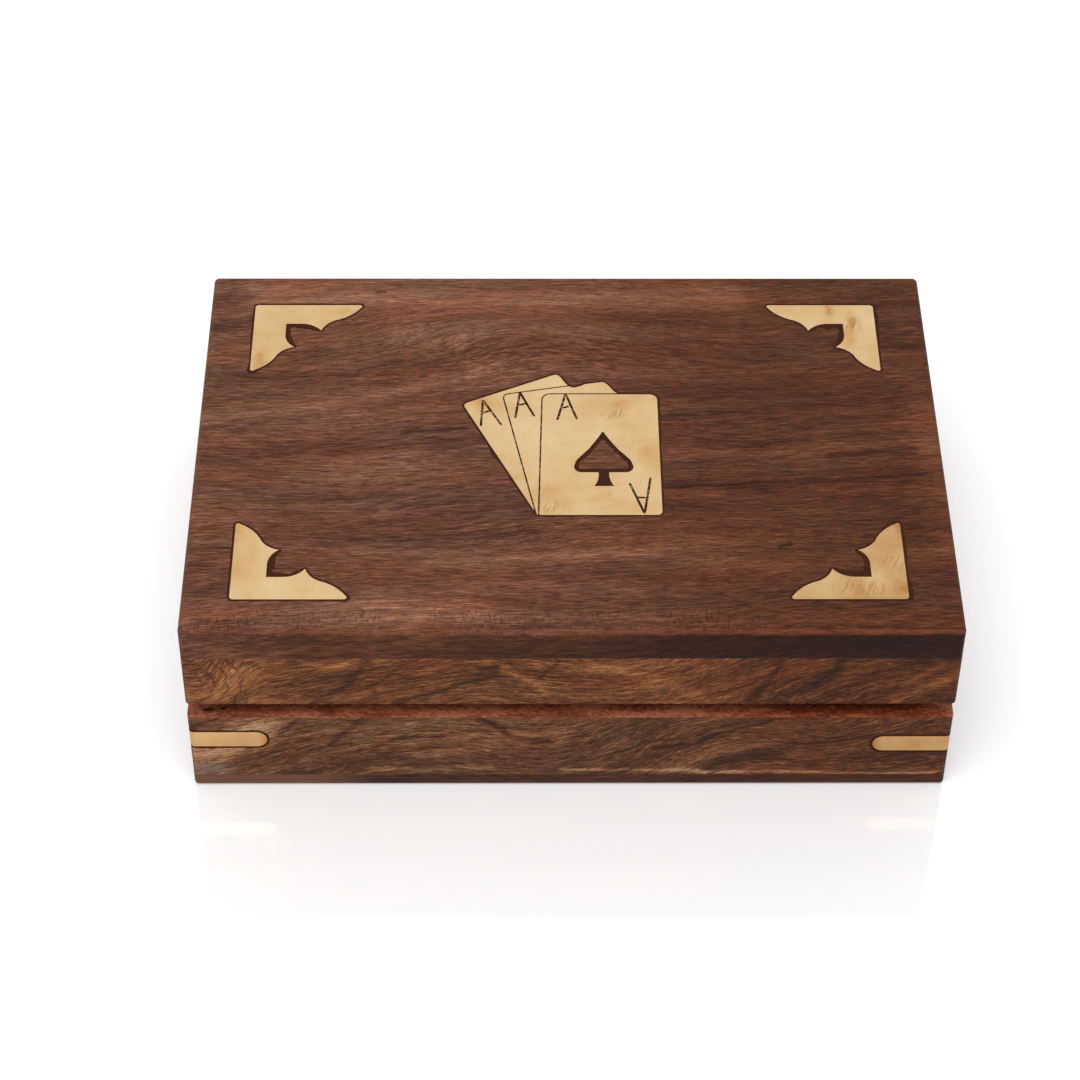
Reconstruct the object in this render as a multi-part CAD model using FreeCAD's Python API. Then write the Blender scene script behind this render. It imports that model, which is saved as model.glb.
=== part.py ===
import FreeCAD, Part
import math
import os

from FreeCAD import Vector

# Playing card box: a hinged lid over two card wells, and a shallow drawer under them.
# Millimetres. The origin is the middle of the footprint on the table. +X runs along the box
# towards the drawer's end, +Y towards the hinges, +Z up.

# Case: a mitred wall frame on a base panel, and a mitred lid frame under a top panel.
box_width = 165.0
box_depth = 113.0
wall_thickness = 8.0
base_thickness = 3.5
wall_height = 19.1
lid_rail_height = 18.8
top_thickness = 8.6
finger_groove = 4.4          # 45 degree chamfer round the lid's lower edge
corner_easing = 1.0          # radius of the frames' upright edges
base_easing = 0.9            # radius of the base's lower and upright edges
top_easing = 1.2             # radius of the top panel's upper and upright edges

# Brass inlay let into the top, with a filler-wide gap all round.
inlay_thickness = 1.2
inlay_gap = 0.35

# Corner brackets: one leg along X, one along Y, each scalloped on the inside.
bracket_inset_left = 10.3
bracket_inset_right = 11.3
bracket_inset_front = 9.1
bracket_inset_back = 10.2
bracket_leg_x = 24.8
bracket_leg_y = 22.6
bracket_band_x = 6.5
bracket_band_y = 7.4
bracket_cusp_x = 15.6        # along the leg that runs in X
bracket_cusp_x_height = 8.9
bracket_cusp_y = 14.5        # along the leg that runs in Y
bracket_cusp_y_height = 9.7
bracket_corner_radius = 0.8
bracket_tip_width = 1.0
bracket_neck = 0.6           # height where the two scallops meet, as a share of the cusp's
bracket_neck_reach = 0.33    # how far past the cusp that is, as a share of what is left
bracket_band_reach = 0.7     # where the plain band begins, as a share of the way to the cusp
bracket_scallop = 0.65       # how far the hollow and the full curves stand off their chords
bracket_swell = 0.5

# Card fan: three cards spread about the front card's lower left corner.
front_card_length = 38.3
front_card_width = 26.7
front_card_set_in = 0.5      # its lower left corner lies this far inside the pivot
front_card_lean = 1.0        # its left edge leans in by this much at the top
rear_card_length = 38.8
rear_card_width = 25.3
card_corner = 1.8            # the front card's upper corners
rear_card_corner = 3.2       # the corners of the cards behind it that stand free at the top
card_small_corner = 1.1      # the others
card_pivot_corner = 0.3      # where the three cards meet
fan_pivot_x = -7.2
fan_pivot_y = -22.4
fan_angles = (11.0, 25.2)    # middle card, rear card
engraving_width = 0.35
engraving_depth = 0.25

# Spade cut through the front card, round a leaf of the panel's own wood.
spade_from_pivot = 14.75     # its centre line, right of the fan's pivot
spade_apex_rise = 26.0       # its apex, above the fan's pivot
spade_height = 17.1
spade_half_width = 6.45
spade_lobe_drop = 12.8       # from the apex to the lobes' lowest point
spade_stem_half_width = 1.2
spade_foot_half_width = 2.2
spade_filler = 0.9           # filler between the brass and the wooden leaf

# Brass straps let in round the wall frame's corners.
strap_length = 16.8
strap_height = 4.7
strap_thickness = 1.2
strap_rise_left = 11.9       # from the base panel up to the strap's middle line
strap_rise_right = 10.35

# Card wells: a floor in a rabbet of the walls, a liner that the lid drops over, a divider.
floor_thickness = 2.0
floor_rabbet = 2.0
liner_thickness = 2.2
liner_headroom = 5.8         # from the liner up to the top panel
liner_end_gap = 0.6
liner_swing_gap = 0.4        # from the lid's front rail as it swings past the liner
liner_easing = 0.7
divider_thickness = 7.0
divider_easing = 1.0
finger_dip_length = 30.0
finger_dip_depth = 6.0

# Drawer: an open tray as long as the case, through a mouth in the right wall.
mouth_width = 70.0
mouth_lintel = 1.8           # wood between the mouth and the underside of the card floor
drawer_gap = 0.4
drawer_lift = 0.3
drawer_rear_gap = 0.5
drawer_board = 3.0
drawer_bottom_thickness = 1.6
drawer_bottom_rise = 0.8     # the bottom lies in grooves this far up the boards
drawer_groove_depth = 1.2
drawer_side_step = 0.3       # the sides stand this much lower than the front
drawer_front_easing = 0.5
drawer_held_length = 46.5    # what stays inside when the drawer is pulled to its stop
stop_thickness = 1.3
stop_width = 6.0
stop_margin = 0.3
guide_width = 4.0
guide_height = 6.0

# Knob and its screw.
knob_length = 6.6
knob_radius = 3.4
knob_neck_radius = 1.8
knob_foot_radius = 2.9
knob_foot_thickness = 0.8
knob_neck_length = 3.0       # from the drawer front to where the head starts to flare
knob_rim_width = 1.2
knob_face_bevel = 0.9
knob_screw_radius = 1.2
knob_screw_head_radius = 2.4
knob_screw_head_height = 1.3
knob_screw_grip = 3.5        # how far it runs into the knob
thread_gap = 0.05

# Butt hinges at the back, with their knuckles in the finger groove.
hinge_end_distance = 23.5    # from the case's end to the hinge
hinge_length = 22.0
leaf_thickness = 0.8
leaf_margin = 0.2
leaf_corner = 0.8
leaf_neck = 0.2              # from the plate to the knuckles, bridged by their tabs
knuckle_radius = 1.5
knuckle_count = 3
knuckle_gap = 0.15
knuckle_set_in = 0.1         # from the back face to the knuckles
knuckle_rise = 0.3           # from the rim to the knuckles
knuckle_swing_gap = 0.35
pin_radius = 0.7
pin_fixed_gap = 0.02
pin_running_gap = 0.05
hinge_screw_radius = 0.75
hinge_screw_head_radius = 1.3
hinge_screw_length = 6.0
hinge_screw_spacing = 13.0
hinge_screw_edge = 0.6       # wood between the screw and the floor's rabbet
screw_slot_width = 0.35
screw_slot_depth = 0.3
screw_slot_angle = 15.0      # of the first screw, and from each screw to the next
screw_slot_turn = 37.0

cut_overrun = 1.0            # how far cutting shapes stand out past the wood

# Levels and half sizes that follow from the sizes above.
rim_z = base_thickness + wall_height
panel_z = rim_z + lid_rail_height
top_z = panel_z + top_thickness
half_width = box_width / 2
half_depth = box_depth / 2
inner_half_width = half_width - wall_thickness
inner_half_depth = half_depth - wall_thickness
floor_z = rim_z - floor_thickness
mouth_top = floor_z - mouth_lintel
hinge_centre_x = half_width - hinge_end_distance - hinge_length / 2
knuckle_axis_y = half_depth - knuckle_set_in - knuckle_radius
knuckle_axis_z = rim_z + knuckle_rise + knuckle_radius
liner_height = lid_rail_height - liner_headroom

# The lid's front rail sweeps an arc about the hinge pins, and the liner stands just inside it.
swing_radius = math.hypot(knuckle_axis_y + inner_half_depth, knuckle_axis_z - rim_z) - liner_swing_gap
liner_half_width = inner_half_width - liner_end_gap
liner_half_depth = math.sqrt(swing_radius ** 2
                             - (rim_z + liner_height - knuckle_axis_z) ** 2) - knuckle_axis_y

# The drawer fills the space under the card floor, from the mouth to the far wall.
drawer_low_z = base_thickness + drawer_lift
drawer_front_top = mouth_top - drawer_gap
drawer_half_outer = mouth_width / 2 - drawer_gap
drawer_half_inner = drawer_half_outer - drawer_board
drawer_rear_x = -inner_half_width + drawer_rear_gap
drawer_tray_x = drawer_rear_x + drawer_board
drawer_travel = half_width - drawer_held_length - drawer_rear_x
knob_z = (drawer_low_z + drawer_front_top) / 2

nodes = {}


# ---------------------------------------------------------------- shapes used throughout

def block(x_range, y_range, z_range):
    """Box between the given limits."""
    low = Vector(x_range[0], y_range[0], z_range[0])
    high = Vector(x_range[1], y_range[1], z_range[1])
    size = high - low
    return Part.makeBox(size.x, size.y, size.z, low)


def rod(start, direction, radius, length):
    """Round bar from a point along a direction."""
    return Part.makeCylinder(radius, length, start, direction)


def rounded_polygon(corners, radii, z):
    """Closed wire through the corners, each turned by an arc of its own radius."""
    turns = []
    for i, (x, y) in enumerate(corners):
        corner = Vector(x, y, z)
        before = Vector(*corners[i - 1], z) - corner
        after = Vector(*corners[(i + 1) % len(corners)], z) - corner
        before.normalize()
        after.normalize()
        half_angle = before.getAngle(after) / 2
        reach = radii[i] / math.tan(half_angle)
        inward = before + after
        inward.normalize()
        middle = corner + inward * (radii[i] / math.sin(half_angle) - radii[i])
        turns.append((corner + before * reach, middle, corner + after * reach))
    edges = []
    for i, (start, middle, end) in enumerate(turns):
        edges.append(Part.LineSegment(turns[i - 1][2], start).toShape())
        edges.append(Part.Arc(start, middle, end).toShape())
    return Part.Wire(edges)


def rectangle_corners(half_x, half_y):
    return [(-half_x, -half_y), (half_x, -half_y), (half_x, half_y), (-half_x, half_y)]


def case_outline(inset, radius, z):
    """The case's plan outline, drawn in by an inset, at a height."""
    corners = rectangle_corners(half_width - inset, half_depth - inset)
    return rounded_polygon(corners, [radius] * 4, z)


def raised(wire, height):
    """Upright prism on a flat outline."""
    return Part.Face(wire).extrude(Vector(0, 0, height))


def edges_at(shape, z):
    """The edges that lie flat at one height."""
    return [edge for edge in shape.Edges
            if abs(edge.BoundBox.ZMin - z) < 1e-6 and abs(edge.BoundBox.ZMax - z) < 1e-6]


def eased_panel(z_range, outer_z, easing):
    """Panel over the whole case, its upright edges and those of its outer face rounded."""
    panel = block((-half_width, half_width), (-half_depth, half_depth), z_range)
    thickness = z_range[1] - z_range[0]
    upright = [edge for edge in panel.Edges if edge.BoundBox.ZLength > thickness / 2]
    return panel.makeFillet(easing, upright + edges_at(panel, outer_z))


def turned(profile, start, direction):
    """Round solid from (distance along the axis, radius) points, closed on the axis."""
    points = [Vector(radius, 0, along) for along, radius in profile]
    wire = Part.makePolygon([Vector(0, 0, profile[0][0])] + points
                            + [Vector(0, 0, profile[-1][0]), Vector(0, 0, profile[0][0])])
    solid = Part.Face(wire).revolve(Vector(0, 0, 0), Vector(0, 0, 1), 360)
    solid.Placement = FreeCAD.Placement(start, FreeCAD.Rotation(Vector(0, 0, 1), direction))
    return solid


# ------------------------------------------------------------------------ mitred frames

def mitre_wedge(side):
    """Prism over one side of the case, bounded by the 45 degree planes at its corners."""
    reach = wall_thickness + cut_overrun
    flare = cut_overrun
    if side in ("front", "back"):
        sign = -1 if side == "front" else 1
        plan = [(-half_width - flare, sign * (half_depth + flare)),
                (half_width + flare, sign * (half_depth + flare)),
                (half_width - reach, sign * (half_depth - reach)),
                (-half_width + reach, sign * (half_depth - reach))]
    else:
        sign = -1 if side == "left" else 1
        plan = [(sign * (half_width + flare), -half_depth - flare),
                (sign * (half_width + flare), half_depth + flare),
                (sign * (half_width - reach), half_depth - reach),
                (sign * (half_width - reach), -half_depth + reach)]
    outline = Part.makePolygon([Vector(x, y, 0) for x, y in plan + plan[:1]])
    return raised(outline, top_z)


def add_mitred(frame, prefix):
    for side in ("front", "back", "left", "right"):
        nodes[prefix + side] = frame.common(mitre_wedge(side))


def inner_hollow(z_range):
    return block((-inner_half_width, inner_half_width), (-inner_half_depth, inner_half_depth), z_range)


# --------------------------------------------------------------------------- brass inlay

def bracket_outline(side_x, side_y, z):
    """Outline of one corner bracket. side_x and side_y are -1 or +1."""
    inset_x = bracket_inset_left if side_x < 0 else bracket_inset_right
    inset_y = bracket_inset_front if side_y < 0 else bracket_inset_back

    def placed(along_x, along_y):
        return Vector(side_x * (half_width - inset_x - along_x),
                      side_y * (half_depth - inset_y - along_y), z)

    def leg_points(leg, band, cusp, cusp_height):
        """(along, across, bulge to the next point) from the tip in to the band."""
        tip = bracket_tip_width
        neck = cusp + bracket_neck_reach * (leg - cusp)
        return [(leg - tip / 2, 0.0, tip / 3),
                (leg - tip / 3, tip, bracket_scallop),
                (neck, bracket_neck * cusp_height, -bracket_swell),
                (cusp, cusp_height, -bracket_scallop),
                (bracket_band_reach * cusp, band, 0.0)]

    leg_x = leg_points(bracket_leg_x, bracket_band_x, bracket_cusp_x, bracket_cusp_x_height)
    leg_y = leg_points(bracket_leg_y, bracket_band_y, bracket_cusp_y, bracket_cusp_y_height)
    inner_corner = (bracket_band_y, bracket_band_x, 0.0)
    corner_sagitta = bracket_corner_radius * (1 - math.sqrt(0.5))
    corner_start = (0.0, bracket_corner_radius, corner_sagitta)
    corner_end = (bracket_corner_radius, 0.0, 0.0)
    # The Y leg is walked the other way, so each bulge moves to the point before it.
    back_bulges = [0.0] + [bulge for _, _, bulge in reversed(leg_y[:-1])] + [0.0]
    leg_y_back = [(across, along, bulge) for (along, across, _), bulge
                  in zip(reversed(leg_y), back_bulges[1:])]
    outline = [corner_end] + leg_x + [inner_corner] + leg_y_back + [corner_start]

    edges = []
    for i, (x, y, bulge) in enumerate(outline):
        next_x, next_y, _ = outline[(i + 1) % len(outline)]
        start, end = placed(x, y), placed(next_x, next_y)
        if bulge == 0.0:
            edges.append(Part.LineSegment(start, end).toShape())
        else:
            chord = math.hypot(next_x - x, next_y - y)
            middle = placed((x + next_x) / 2 + bulge * (next_y - y) / chord,
                            (y + next_y) / 2 - bulge * (next_x - x) / chord)
            edges.append(Part.Arc(start, middle, end).toShape())
    return Part.Wire(edges)


def card_outline(left, width, length, lean, upper_corners, angle, z):
    """One card of the fan, turned about the pivot at its lower left corner."""
    turn = math.radians(angle)
    corners = []
    for x, y in ((left, 0), (left + width, 0), (left + width, length), (left + lean, length)):
        corners.append((fan_pivot_x + x * math.cos(turn) - y * math.sin(turn),
                        fan_pivot_y + x * math.sin(turn) + y * math.cos(turn)))
    radii = [card_pivot_corner, card_small_corner] + upper_corners
    return rounded_polygon(corners, radii, z)


def fan_cards(z):
    """Flat outlines of the front, middle and rear card."""
    cards = [card_outline(front_card_set_in, front_card_width, front_card_length, front_card_lean,
                          [card_corner, card_corner], 0.0, z)]
    for angle in fan_angles:
        cards.append(card_outline(0.0, rear_card_width, rear_card_length, 0.0,
                                  [rear_card_corner, card_small_corner], angle, z))
    return cards


def fan_plan(z):
    """The whole fan as one flat face."""
    cards = [Part.Face(card) for card in fan_cards(z)]
    return cards[0].fuse(cards[1:]).removeSplitter().Faces[0]


def spade_outline(z, with_stem):
    """Spade on its own upright centre line, as half an outline and its mirror image."""
    centre_x = fan_pivot_x + spade_from_pivot
    apex_y = fan_pivot_y + spade_apex_rise

    def spot(across, down):
        """Point from shares of the half width and of the drop to the lobes' lowest point."""
        return (across * spade_half_width, apex_y - down * spade_lobe_drop)

    apex_side = spot(0.062, 0.04)
    flank = spot(0.62, 0.55)
    shoulder = spot(1.0, 0.82)
    lobe_bottom = spot(0.7, 1.0)
    stem_top = (spade_stem_half_width, apex_y - spade_lobe_drop)
    half = [("arc", apex_side, spot(0.28, 0.28), flank),
            ("arc", flank, spot(0.87, 0.68), shoulder),
            ("arc", shoulder, spot(0.94, 0.96), lobe_bottom),
            ("line", lobe_bottom, stem_top)]
    bottom = stem_top
    if with_stem:
        bottom = (spade_foot_half_width, apex_y - spade_height)
        waist = (1.1 * spade_stem_half_width, (stem_top[1] + bottom[1]) / 2)
        half.append(("arc", stem_top, waist, bottom))

    def placed(point, side):
        return Vector(centre_x + side * point[0], point[1], z)

    edges = []
    for side in (1, -1):
        for kind, *points in half:
            spots = [placed(point, side) for point in points]
            curve = Part.Arc(*spots) if kind == "arc" else Part.LineSegment(*spots)
            edges.append(curve.toShape())
    edges.append(Part.LineSegment(placed(bottom, 1), placed(bottom, -1)).toShape())
    apex = Vector(centre_x, apex_y, z)
    edges.append(Part.Arc(placed(apex_side, 1), apex, placed(apex_side, -1)).toShape())
    return Part.Wire(Part.sortEdges(edges)[0])


def add_top_inlay():
    """Brackets and card fan, and the pockets that they lie in."""
    bed_z = top_z - inlay_thickness
    pockets = []
    for side_y, depth_name in ((-1, "front"), (1, "back")):
        for side_x, width_name in ((-1, "left"), (1, "right")):
            outline = bracket_outline(side_x, side_y, bed_z)
            nodes["bracket_" + depth_name + "_" + width_name] = raised(outline, inlay_thickness)
            opened = Part.Face(outline).makeOffset2D(inlay_gap)
            pockets.append(opened.extrude(Vector(0, 0, inlay_thickness)))

    plan = fan_plan(bed_z)
    sheet = plan.extrude(Vector(0, 0, inlay_thickness))
    sheet = sheet.cut(raised(spade_outline(bed_z, True), inlay_thickness))
    groove_z = top_z - engraving_depth
    front, middle, _ = [Part.Face(card) for card in fan_cards(groove_z)]
    front_margin = front.makeOffset2D(engraving_width)
    middle_margin = middle.makeOffset2D(engraving_width)
    for margin, covered in ((front_margin, front), (middle_margin, middle.fuse(front_margin))):
        sheet = sheet.cut(margin.cut(covered).extrude(Vector(0, 0, engraving_depth)))
    nodes["card_fan_inlay"] = sheet

    leaf = Part.Face(spade_outline(bed_z, False)).makeOffset2D(-spade_filler)
    pocket = plan.makeOffset2D(inlay_gap).extrude(Vector(0, 0, inlay_thickness))
    pockets.append(pocket.cut(leaf.extrude(Vector(0, 0, inlay_thickness))))
    return pockets


def strap_legs(side_x, side_y, grow):
    """The two legs of one corner strap, widened by grow, and open to the outside."""
    rise = strap_rise_left if side_x < 0 else strap_rise_right
    middle_z = base_thickness + rise
    radius = strap_height / 2 + grow
    round_end = strap_length - strap_height / 2
    z_range = (middle_z - radius, middle_z + radius)

    end_x = side_x * (half_width - round_end)
    outer_x = side_x * (half_width + cut_overrun)
    outer_y = side_y * (half_depth + cut_overrun)
    inner_y = side_y * (half_depth - strap_thickness)
    low_y, high_y = sorted((outer_y, inner_y))
    long_leg = block(sorted((end_x, outer_x)), (low_y, high_y), z_range)
    long_end = rod(Vector(end_x, low_y, middle_z), Vector(0, 1, 0), radius, high_y - low_y)

    end_y = side_y * (half_depth - round_end)
    inner_x = side_x * (half_width - strap_thickness)
    low_x, high_x = sorted((outer_x, inner_x))
    short_leg = block((low_x, high_x), sorted((end_y, outer_y)), z_range)
    short_end = rod(Vector(low_x, end_y, middle_z), Vector(1, 0, 0), radius, high_x - low_x)
    return long_leg.fuse([long_end, short_leg, short_end]).removeSplitter()


# ------------------------------------------------------------------------------- hinges

def knuckle_spans(on_lid):
    """(start, end) along the pin, from the hinge's middle, of the leaf's own knuckles."""
    pitch = hinge_length / knuckle_count
    spans = []
    for i in range(knuckle_count):
        if (i % 2 == 1) == on_lid:
            start = -hinge_length / 2 + i * pitch
            spans.append((start + knuckle_gap / 2, start + pitch - knuckle_gap / 2))
    return spans


def hinge_screw_spots(centre_x):
    """Where the screws of one leaf go, in plan."""
    y = inner_half_depth + floor_rabbet + hinge_screw_edge + hinge_screw_radius
    return [(centre_x - hinge_screw_spacing / 2, y), (centre_x + hinge_screw_spacing / 2, y)]


def countersunk(x, y, head_z, up, grow):
    """Screw whose head fills a leaf's thickness, along +Z or -Z from the head, widened by grow."""
    shank = hinge_screw_radius + grow
    profile = [(0.0, hinge_screw_head_radius + grow), (leaf_thickness, shank),
               (hinge_screw_length, shank)]
    return turned(profile, Vector(x, y, head_z), Vector(0, 0, 1 if up else -1))


def leaf_levels(on_lid):
    """Lower and upper face of a leaf's plate."""
    if on_lid:
        upper = knuckle_axis_z + knuckle_radius
        return upper - leaf_thickness, upper
    return rim_z, rim_z + leaf_thickness


def hinge_leaf(centre_x, on_lid):
    """One leaf: a plate on the wood, tabs out to the pin and the knuckles round it."""
    low_z, high_z = leaf_levels(on_lid)
    plate_edge = knuckle_axis_y - knuckle_radius - leaf_neck
    x_range = (centre_x - hinge_length / 2, centre_x + hinge_length / 2)
    plate = block(x_range, (inner_half_depth + leaf_margin, plate_edge), (low_z, high_z))
    inner_corners = [edge for edge in plate.Edges
                     if edge.BoundBox.ZLength > leaf_thickness / 2
                     and edge.BoundBox.YMax < inner_half_depth + leaf_margin + 1e-6]
    leaf = plate.makeFillet(leaf_corner, inner_corners)

    bore_radius = pin_radius + (pin_running_gap if on_lid else pin_fixed_gap)
    bore_start = Vector(x_range[0], knuckle_axis_y, knuckle_axis_z)
    for start, end in knuckle_spans(on_lid):
        tab = block((centre_x + start, centre_x + end), (plate_edge, knuckle_axis_y), (low_z, high_z))
        barrel_start = Vector(centre_x + start, knuckle_axis_y, knuckle_axis_z)
        leaf = leaf.fuse([tab, rod(barrel_start, Vector(1, 0, 0), knuckle_radius, end - start)])
    leaf = leaf.removeSplitter().cut(rod(bore_start, Vector(1, 0, 0), bore_radius, hinge_length))
    head_z = low_z if on_lid else high_z
    for x, y in hinge_screw_spots(centre_x):
        leaf = leaf.cut(countersunk(x, y, head_z, on_lid, thread_gap))
    return leaf


def hinge_screws(on_lid):
    """The screws of both hinges' leaves on one side, as a group of solids."""
    low_z, high_z = leaf_levels(on_lid)
    head_z = low_z if on_lid else high_z
    slot_range = (head_z, head_z + screw_slot_depth) if on_lid else (head_z - screw_slot_depth, head_z)
    reach = hinge_screw_head_radius + cut_overrun
    half_slot = screw_slot_width / 2
    screws = []
    for centre_x in (-hinge_centre_x, hinge_centre_x):
        for x, y in hinge_screw_spots(centre_x):
            slot = block((x - reach, x + reach), (y - half_slot, y + half_slot), slot_range)
            angle = screw_slot_angle + screw_slot_turn * len(screws)
            slot.rotate(Vector(x, y, 0), Vector(0, 0, 1), angle)
            screws.append(countersunk(x, y, head_z, on_lid, 0.0).cut(slot))
    return screws


def screw_holes(on_lid):
    """Pilot holes for the hinge screws."""
    low_z, high_z = leaf_levels(on_lid)
    head_z = low_z if on_lid else high_z
    return [countersunk(x, y, head_z, on_lid, thread_gap)
            for centre_x in (-hinge_centre_x, hinge_centre_x)
            for x, y in hinge_screw_spots(centre_x)]


def lid_mortises():
    """Room in the back rail for the leaves, and for the knuckles as they turn."""
    length = hinge_length + 2 * knuckle_swing_gap
    cuts = []
    for centre_x in (-hinge_centre_x, hinge_centre_x):
        x_range = (centre_x - length / 2, centre_x + length / 2)
        cuts.append(block(x_range, (inner_half_depth, knuckle_axis_y),
                          (rim_z, knuckle_axis_z + knuckle_radius)))
        start = Vector(x_range[0], knuckle_axis_y, knuckle_axis_z)
        cuts.append(rod(start, Vector(1, 0, 0), knuckle_radius + knuckle_swing_gap, length))
    return cuts


def add_hinges():
    for name, centre_x in (("left", -hinge_centre_x), ("right", hinge_centre_x)):
        nodes["hinge_" + name + "_body_leaf"] = hinge_leaf(centre_x, False)
        nodes["hinge_" + name + "_lid_leaf"] = hinge_leaf(centre_x, True)
        pin_start = Vector(centre_x - hinge_length / 2, knuckle_axis_y, knuckle_axis_z)
        nodes["hinge_" + name + "_pin"] = rod(pin_start, Vector(1, 0, 0), pin_radius, hinge_length)
    nodes["hinge_screws_body"] = Part.makeCompound(hinge_screws(False))
    nodes["hinge_screws_lid"] = Part.makeCompound(hinge_screws(True))


# --------------------------------------------------------------------------------- case

def add_base():
    nodes["base_panel"] = eased_panel((0.0, base_thickness), 0.0, base_easing)


def add_walls():
    """Mitred walls with the floor's rabbet, the strap pockets, the mouth and screw holes."""
    solid = raised(case_outline(0.0, corner_easing, base_thickness), wall_height)
    frame = solid.cut(inner_hollow((base_thickness, rim_z)))
    rabbet = block((-inner_half_width - floor_rabbet, inner_half_width + floor_rabbet),
                   (-inner_half_depth - floor_rabbet, inner_half_depth + floor_rabbet),
                   (floor_z, rim_z))
    mouth = block((inner_half_width, half_width), (-mouth_width / 2, mouth_width / 2),
                  (base_thickness, mouth_top))
    frame = frame.cut([rabbet, mouth] + screw_holes(False))
    for side_y, depth_name in ((-1, "front"), (1, "back")):
        for side_x, width_name in ((-1, "left"), (1, "right")):
            strap = strap_legs(side_x, side_y, 0.0).common(solid)
            nodes["corner_strap_" + depth_name + "_" + width_name] = strap
            frame = frame.cut(strap_legs(side_x, side_y, inlay_gap))
    add_mitred(frame, "wall_")


def add_lid():
    """Mitred rails, chamfered below for the fingers, under the inlaid top panel."""
    groove_top = rim_z + finger_groove
    chamfered = Part.makeLoft([case_outline(finger_groove, corner_easing, rim_z),
                               case_outline(0.0, corner_easing, groove_top)], True, True)
    upright = raised(case_outline(0.0, corner_easing, groove_top), panel_z - groove_top)
    frame = chamfered.fuse(upright).removeSplitter().cut(inner_hollow((rim_z, panel_z)))
    frame = frame.cut(lid_mortises() + screw_holes(True))
    add_mitred(frame, "lid_rail_")

    panel = eased_panel((panel_z, top_z), top_z, top_easing)
    nodes["top_panel"] = panel.cut(add_top_inlay())


# --------------------------------------------------------------------------- card wells

def eased_board(x_range, y_range, easing):
    """Board standing on the card floor, as high as the liner, with its long edges rounded."""
    liner_top = rim_z + liner_height
    board = block(x_range, y_range, (rim_z, liner_top))
    width = min(x_range[1] - x_range[0], y_range[1] - y_range[0])
    long_edges = [edge for edge in edges_at(board, liner_top) if edge.Length > width + 1e-6]
    return board.makeFillet(min(easing, 0.45 * width), long_edges)


def add_wells():
    """Floor, liner frame and divider, with a dip in the divider for the fingers."""
    nodes["card_floor"] = block((-inner_half_width - floor_rabbet, inner_half_width + floor_rabbet),
                                (-inner_half_depth - floor_rabbet, inner_half_depth + floor_rabbet),
                                (floor_z, rim_z))
    inner_x = liner_half_width - liner_thickness
    inner_y = liner_half_depth - liner_thickness
    for side, depth_name, width_name in ((-1, "front", "left"), (1, "back", "right")):
        y_range = sorted((side * liner_half_depth, side * inner_y))
        x_range = sorted((side * liner_half_width, side * inner_x))
        nodes["well_liner_" + depth_name] = eased_board((-liner_half_width, liner_half_width),
                                                        y_range, liner_easing)
        nodes["well_liner_" + width_name] = eased_board(x_range, (-inner_y, inner_y), liner_easing)

    divider_half = divider_thickness / 2
    divider = eased_board((-divider_half, divider_half), (-inner_y, inner_y), divider_easing)
    dip_radius = (finger_dip_length ** 2 / 4 + finger_dip_depth ** 2) / (2 * finger_dip_depth)
    dip_centre_z = rim_z + liner_height - finger_dip_depth + dip_radius
    dip = rod(Vector(-divider_half, 0, dip_centre_z), Vector(1, 0, 0), dip_radius, divider_thickness)
    nodes["card_divider"] = divider.cut(dip)


# ------------------------------------------------------------------------------- drawer

def add_drawer():
    """Tray: a front as thick as the wall, lapped sides, a tall back and a grooved-in bottom."""
    front_x = inner_half_width
    lap_x = front_x + drawer_board
    groove_z = drawer_low_z + drawer_bottom_rise
    groove = block((drawer_tray_x - drawer_groove_depth, front_x + drawer_groove_depth),
                   (-drawer_half_inner - drawer_groove_depth, drawer_half_inner + drawer_groove_depth),
                   (groove_z, groove_z + drawer_bottom_thickness))
    nodes["drawer_bottom"] = groove

    front = block((front_x, half_width), (-drawer_half_outer, drawer_half_outer),
                  (drawer_low_z, drawer_front_top))
    face_edges = [edge for edge in front.Edges if edge.BoundBox.XMin > half_width - 1e-6]
    front = front.makeFillet(drawer_front_easing, face_edges)
    screw_bore = rod(Vector(front_x, 0, knob_z), Vector(1, 0, 0), knob_screw_radius + thread_gap,
                     wall_thickness)
    cuts = [screw_bore, groove]
    side_top = drawer_front_top - drawer_side_step
    for side, name in ((-1, "front"), (1, "back")):
        y_range = sorted((side * drawer_half_outer, side * drawer_half_inner))
        cuts.append(block((front_x, lap_x), y_range, (drawer_low_z, drawer_front_top)))
        board = block((drawer_tray_x, lap_x), y_range, (drawer_low_z, side_top))
        nodes["drawer_side_" + name] = board.cut(groove)
    nodes["drawer_front"] = front.cut(cuts)
    back = block((drawer_rear_x, drawer_tray_x), (-drawer_half_outer, drawer_half_outer),
                 (drawer_low_z, floor_z - drawer_lift))
    nodes["drawer_back"] = back.cut(groove)


def add_drawer_guides():
    """Strips beside the tray, and the stop under the card floor that its back board meets."""
    stop_x = drawer_tray_x + drawer_travel + stop_margin
    nodes["drawer_stop"] = block((stop_x, stop_x + stop_width), (-drawer_half_inner, drawer_half_inner),
                                 (floor_z - stop_thickness, floor_z))
    for side, name in ((-1, "front"), (1, "back")):
        y_range = sorted((side * mouth_width / 2, side * (mouth_width / 2 + guide_width)))
        nodes["drawer_guide_" + name] = block((-inner_half_width, inner_half_width), y_range,
                                              (base_thickness, base_thickness + guide_height))


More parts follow.
